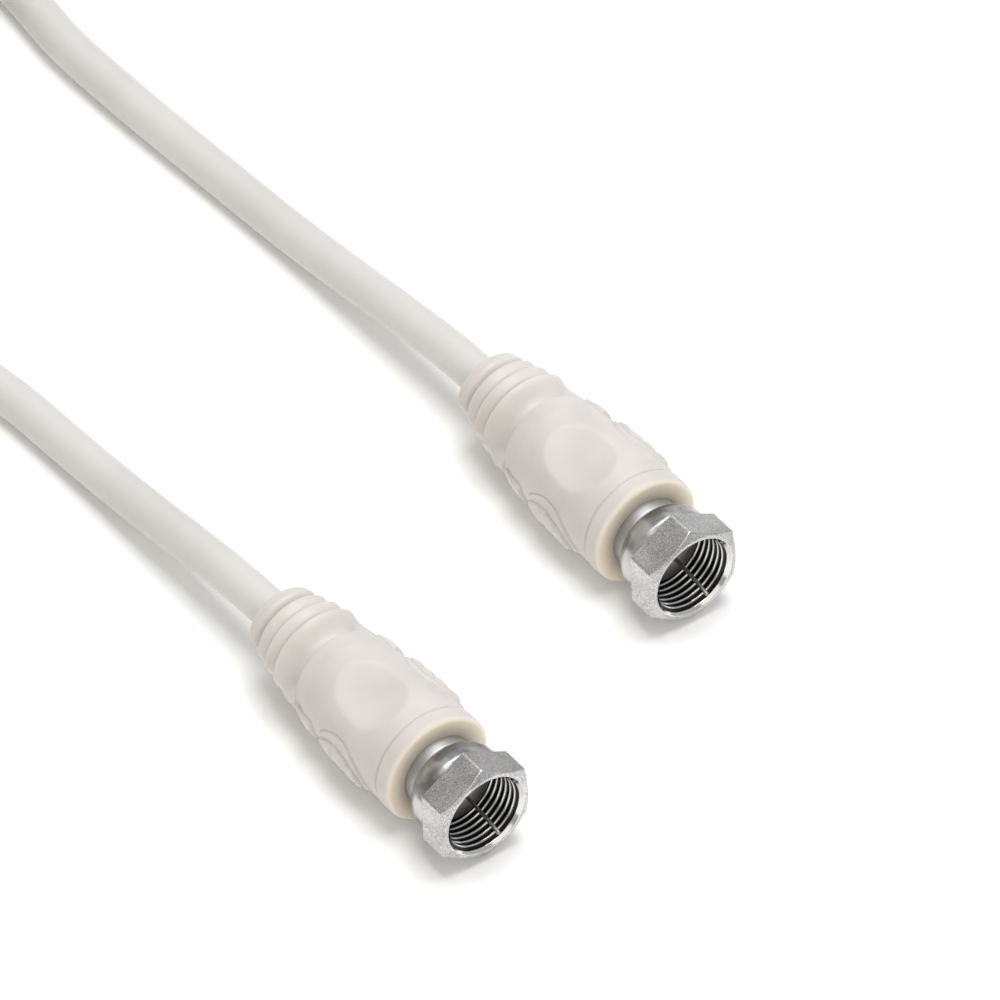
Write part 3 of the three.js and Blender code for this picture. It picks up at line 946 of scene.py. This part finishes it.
pin_radius = 0.21
pin_back = -7.9
pin_shoulder = 2.68
pin_tip = [(2.77, 0.17), (2.8, 0.08)]
pin_steps = 12
pin_columns = 32
bare_from = -4.9
bare_length = 7.7
tip_off_axis = 0.45


# The bare end of the wire is a little bent, so that its tip stands off the axis
def pin_piece(end):
    outline = []
    for i in range(pin_steps + 1):
        outline.append((lerp(pin_back, pin_shoulder, i / pin_steps), pin_radius))
    pin = turned_mesh(
        f"centre_pin_{end}", outline + pin_tip, pin_columns, Matrix.Identity(4), tinned)
    for vert in pin.data.vertices:
        share = max(0, vert.co.x / mm - bare_from) / bare_length
        vert.co.y -= tip_off_axis * mm * share ** 2
    pin.data.transform(plug_matrix(end))
    return pin


core_outline = [(-12.7, 0.3), (-12.7, 1.45), (-4.9, 1.45), (-4.9, 0.3)]
core_bevel = 0.08
core_columns = 64
foam = foamed_polyethylene()
tinned = drawn_tinned_wire()
for end in "ab":
    core = turned_mesh(
        f"foam_core_{end}", bevelled(core_outline, core_bevel), core_columns,
        plug_matrix(end), foam)
    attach(core, "root")
    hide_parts(f"dielectric_{end}")
    pin = pin_piece(end)
    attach(pin, "root")
    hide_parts(f"pin_{end}")


# Floor and lights
# A plain white table under a soft light from overhead, with a weaker and slightly
# warm one in front to fill the shadows, and a white room round it.


# A matt white laminate shows nothing of its own but the shadows on it, and a faint glow keeps
# it white where the lights fall off.
def white_floor():
    material, tree = new_material("matt_white_laminate")
    surface = add_node(
        tree, "ShaderNodeBsdfPrincipled",
        {"Base Color": linear("F7F7F7"), "Roughness": 0.9, "Emission Color": (1, 1, 1, 1),
         "Emission Strength": 0.08})
    add_node(tree, "ShaderNodeOutputMaterial", {}, {"Surface": surface.outputs["BSDF"]})
    half = 3
    corners = [(-half, -half, 0), (half, -half, 0), (half, half, 0), (-half, half, 0)]
    data = bpy.data.meshes.new("floor")
    data.from_pydata(corners, [], [(0, 1, 2, 3)])
    data.materials.append(material)
    floor = bpy.data.objects.new("floor", data)
    bpy.context.scene.collection.objects.link(floor)


def soft_light(name, place, size, power, colour):
    data = bpy.data.lights.new(name, "AREA")
    data.shape = "SQUARE"
    data.size = size
    data.energy = power
    data.color = linear(colour)[:3]
    light = bpy.data.objects.new(name, data)
    light.location = place
    light.rotation_euler = (Vector(place) - target).to_track_quat("Z", "Y").to_euler()
    bpy.context.scene.collection.objects.link(light)


white_floor()
soft_light("key", place=(0.0, 0.1, 1.0), size=0.6, power=7.4, colour="FFFFFF")
soft_light("front", place=(0.75, -0.3, 0.75), size=0.9, power=1.8, colour="FFFAF2")


# The room is white behind and to the far side of the plugs, and a little dimmer and warmer in
# front of them, which the metal mirrors and the faces turned that way pick up.
def studio_room():
    world = bpy.data.worlds.new("studio_room")
    world.use_nodes = True
    tree = world.node_tree
    tree.nodes.clear()
    way = add_node(tree, "ShaderNodeTexCoord").outputs["Generated"]
    toward = add_node(
        tree, "ShaderNodeVectorMath", {"operation": "DOT_PRODUCT", 1: (-0.35, 0.88, 0.32)}, {0: way})
    tone = add_node(tree, "ShaderNodeMapRange", {"From Min": -1.0}, {"Value": toward.outputs["Value"]})
    colour = add_node(tree, "ShaderNodeValToRGB", {}, {"Fac": tone.outputs["Result"]})
    colour.color_ramp.elements[0].position = 0.25
    colour.color_ramp.elements[0].color = (0.8, 0.77, 0.71, 1)
    colour.color_ramp.elements[1].position = 0.85
    colour.color_ramp.elements[1].color = (1, 1, 1, 1)
    backdrop = add_node(
        tree, "ShaderNodeBackground", {"Strength": 0.53}, {"Color": colour.outputs["Color"]})
    add_node(tree, "ShaderNodeOutputWorld", {}, {"Surface": backdrop.outputs["Background"]})
    bpy.context.scene.world = world


studio_room()
bpy.context.scene.view_settings.view_transform = "Standard"
